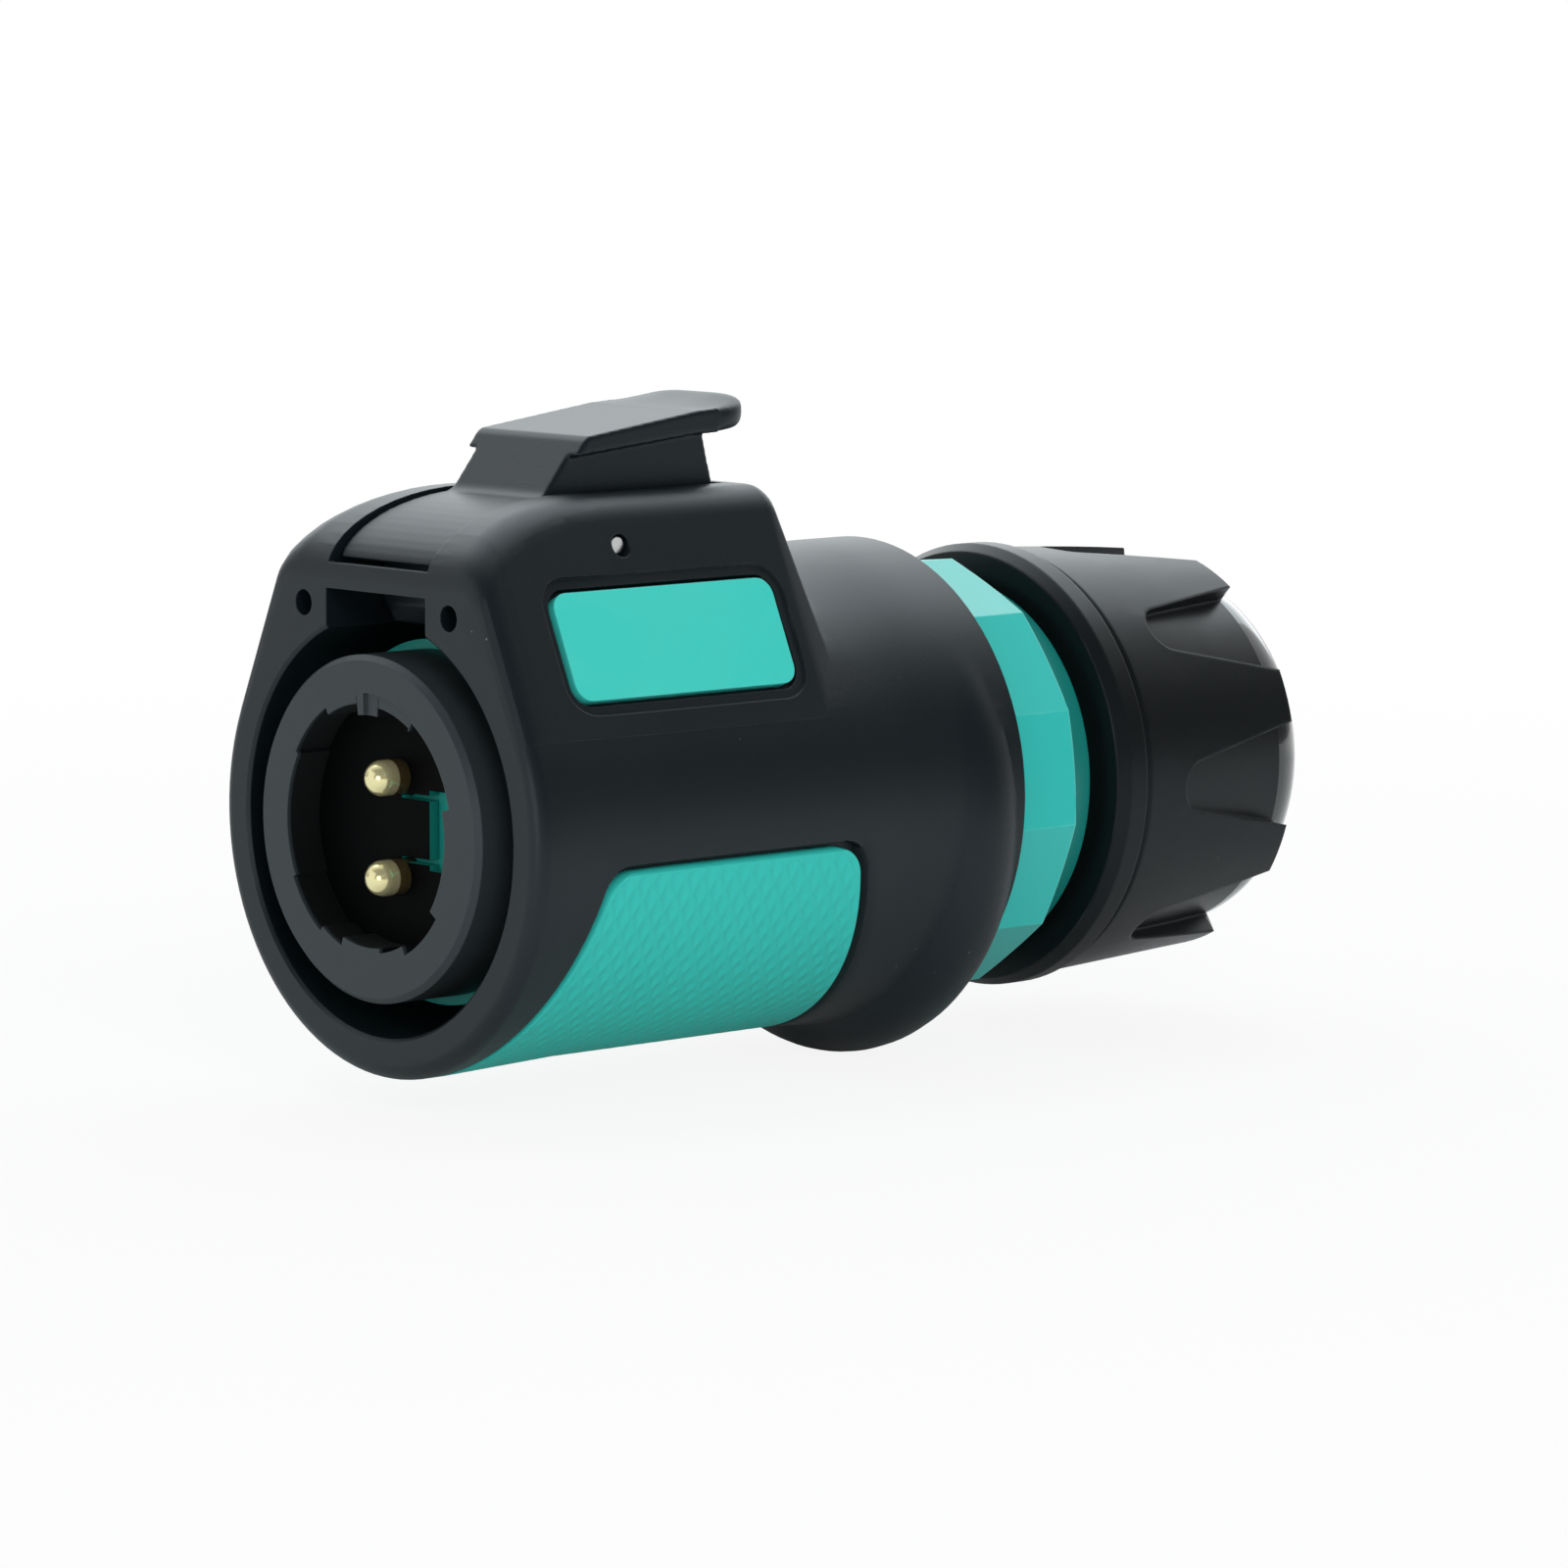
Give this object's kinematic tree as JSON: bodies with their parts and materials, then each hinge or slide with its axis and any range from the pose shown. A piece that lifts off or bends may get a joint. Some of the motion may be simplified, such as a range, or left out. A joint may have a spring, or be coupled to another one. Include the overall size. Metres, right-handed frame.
{
  "type": "circular power plug connector",
  "caption": "Round sealed power plug with a keyed contact barrel, two pins, a sprung push latch on a raised housing, soft grip pad and a fingered cable gland with a scalloped nut.",
  "frame": {"origin": "on the plug axis, in the plane of the contact barrel's front rim", "axes": "+Y along the plug axis from the mating end toward the cable, +Z toward the latch, +X to the side that shows in the picture"},
  "size_m": [0.0324, 0.0704, 0.043],
  "materials": {
    "housing_black": "fine moulded satin",
    "latch_black": "fine moulded satin",
    "barrel_black": "satin",
    "insulator_black": "matt",
    "nut_black": "semi-gloss",
    "washer_black": "smooth",
    "trim_teal": "satin",
    "grip_teal": "fine woven grain",
    "collar_teal": "satin",
    "carrier_teal": "satin",
    "contact_gold": "gold plated",
    "steel": "turned",
    "spring_steel": "bright wire",
    "seal_rubber": "matt",
    "cage_white": "satin",
    "grommet_grey": "matt"
  },
  "bodies": {
    "plug": {"housing": "housing_black", "name_plate_left": "trim_teal", "name_plate_right": "trim_teal", "grip_pad": "grip_teal", "latch_pin": "steel", "latch_spring": "spring_steel", "contact_barrel": "barrel_black", "face_plate": "insulator_black", "contact_carrier": "carrier_teal", "carrier_lock_ring": "insulator_black", "contact_upper": "contact_gold", "contact_lower": "contact_gold", "terminal_screw_upper": "steel", "terminal_screw_lower": "steel", "core_body": "carrier_teal", "core_seal": "seal_rubber", "lock_collar": "collar_teal", "collar_seal": "seal_rubber", "clamp_cage": "cage_white", "cable_grommet": "grommet_grey"},
    "lever": {"latch": "latch_black"},
    "washer": {"slip_washer": "washer_black"},
    "nut": {"gland_nut": "nut_black"}
  },
  "joints": [
    {"name": "latch_hinge", "type": "hinge", "parent": "plug", "child": "lever", "pos_m": [0, 0.0126, 0.01705], "axis": [-1, 0, 0], "range_deg": [0, 7], "stiffness_Nm_per_rad": 0.3, "springref_deg": -8.59, "deforming": ["latch_spring"]},
    {"name": "gland_travel", "type": "slide", "parent": "plug", "child": "washer", "axis": [0, 1, 0], "range_m": [0, 0.0046]},
    {"name": "nut_turn", "type": "hinge", "parent": "washer", "child": "nut", "pos_m": [0, 0.06, 0], "axis": [0, 1, 0], "range_deg": [0, 1080]}
  ],
  "couplings": [
    {"joint": "gland_travel", "follows": "nut_turn", "m_per_rad": 0.00023873}
  ]
}
